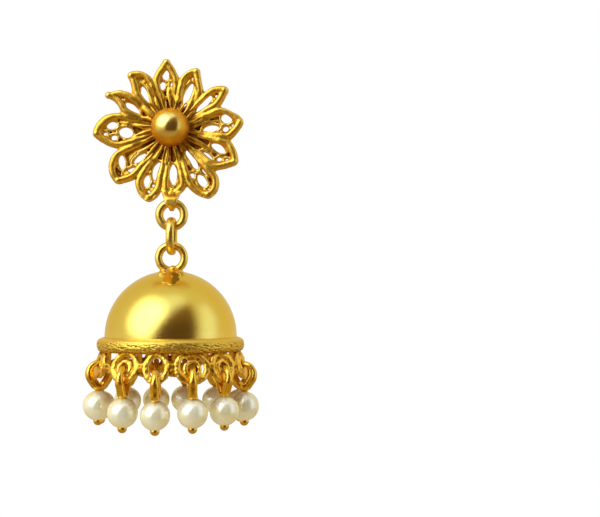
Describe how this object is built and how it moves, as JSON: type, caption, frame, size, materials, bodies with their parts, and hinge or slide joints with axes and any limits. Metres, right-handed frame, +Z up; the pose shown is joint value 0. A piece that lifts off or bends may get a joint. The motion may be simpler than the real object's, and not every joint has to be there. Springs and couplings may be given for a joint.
{
  "type": "jhumka earring",
  "caption": "Gold-toned bell earring: a pierced flower stud with a raised ball, a short link chain, and a domed bell fringed with wire loops that carry hanging pearls.",
  "frame": {"origin": "on the flower's flat back, on the ear post's axis, where the ear lobe lies", "axes": "+Z up along the hanging earring, +Y along the ear post into the ear, -Y the way the flower faces"},
  "size_m": [0.025, 0.0251, 0.0527],
  "materials": {
    "gold_satin": "satin gold plating",
    "gold_wire": "gold plating, polished",
    "gold_bright": "bright gold plating",
    "pearl": "nacreous gloss"
  },
  "bodies": {
    "stud": {"flower": "gold_satin", "centre_ball": "gold_bright", "ear_post": "gold_bright"},
    "jump_ring": {"jump_ring": "gold_wire"},
    "connecting_link": {"connecting_link": "gold_wire"},
    "drop": {"dome": "gold_satin", "dome_ring": "gold_wire", "drop_pin_01": "gold_wire", "drop_pin_02": "gold_wire", "drop_pin_03": "gold_wire", "drop_pin_04": "gold_wire", "drop_pin_05": "gold_wire", "drop_pin_06": "gold_wire", "drop_pin_07": "gold_wire", "drop_pin_08": "gold_wire", "drop_pin_09": "gold_wire", "drop_pin_10": "gold_wire", "drop_pin_11": "gold_wire", "drop_pin_12": "gold_wire", "loop_fringe": "gold_wire", "pearl_01": "pearl", "pearl_02": "pearl", "pearl_03": "pearl", "pearl_04": "pearl", "pearl_05": "pearl", "pearl_06": "pearl", "pearl_07": "pearl", "pearl_08": "pearl", "pearl_09": "pearl", "pearl_10": "pearl", "pearl_11": "pearl", "pearl_12": "pearl", "rim_band": "gold_satin"}
  },
  "joints": [
    {"name": "jump_ring_swing", "type": "hinge", "parent": "stud", "child": "jump_ring", "pos_m": [0.00016, -0.0013, -0.01068], "axis": [1, 0, 0], "range_deg": [-60, 60]},
    {"name": "link_sway", "type": "hinge", "parent": "jump_ring", "child": "connecting_link", "pos_m": [0.00016, -0.0013, -0.01245], "axis": [0, 1, 0], "range_deg": [-60, 60]},
    {"name": "drop_swing", "type": "hinge", "parent": "connecting_link", "child": "drop", "pos_m": [0.00016, -0.0013, -0.01677], "axis": [1, 0, 0], "range_deg": [-60, 60]}
  ]
}
